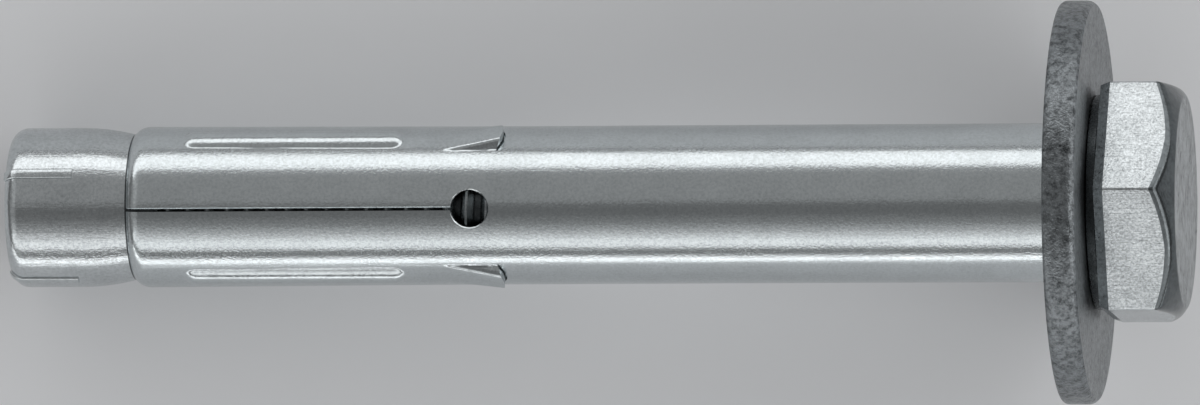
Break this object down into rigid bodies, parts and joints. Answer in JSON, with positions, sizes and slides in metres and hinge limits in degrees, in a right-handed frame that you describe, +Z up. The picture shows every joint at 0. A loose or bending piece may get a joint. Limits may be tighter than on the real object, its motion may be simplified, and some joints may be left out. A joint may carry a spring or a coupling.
{
  "type": "sleeve anchor",
  "caption": "Hex-bolt sleeve anchor for concrete: a bolt with a wide washer, a slit expansion sleeve and a cone nut that spreads its mouth.",
  "frame": {"origin": "on the surface that the anchor lies on, under the middle of its bounding box", "axes": "+X runs from the cone nut to the bolt's head, +Z is up; the anchor's own axis lies in the XZ plane and rises 6.6 degrees towards the head"},
  "size_m": [0.089, 0.03, 0.03],
  "materials": {
    "bolt_steel": "bright zinc plating on cold-forged steel",
    "washer_steel": "bright zinc plating on stamped steel, with a dull rim",
    "sleeve_steel": "bright zinc plating on rolled sheet steel",
    "nut_steel": "bright zinc plating on pressed steel"
  },
  "bodies": {
    "sleeve": {"expansion_sleeve": "sleeve_steel"},
    "bolt": {"hex_bolt": "bolt_steel"},
    "washer": {"washer": "washer_steel"},
    "cone": {"cone_nut": "nut_steel"}
  },
  "joints": [
    {"name": "bolt_turn", "type": "hinge", "parent": "sleeve", "child": "bolt", "pos_m": [0.0346, 0, 0.01486], "axis": [-0.9934, 0, -0.1147], "range_deg": [0, 1080]},
    {"name": "cone_draw", "type": "slide", "parent": "sleeve", "child": "cone", "axis": [0.9934, 0, 0.1147], "range_m": [0, 0.0046], "deforming": ["expansion_sleeve"]},
    {"name": "washer_spin", "type": "hinge", "parent": "sleeve", "child": "washer", "pos_m": [0.0346, 0, 0.01486], "axis": [0.9934, 0, 0.1147], "continuous": true}
  ],
  "couplings": [
    {"joint": "cone_draw", "follows": "bolt_turn", "m_per_rad": 0.00023873}
  ]
}
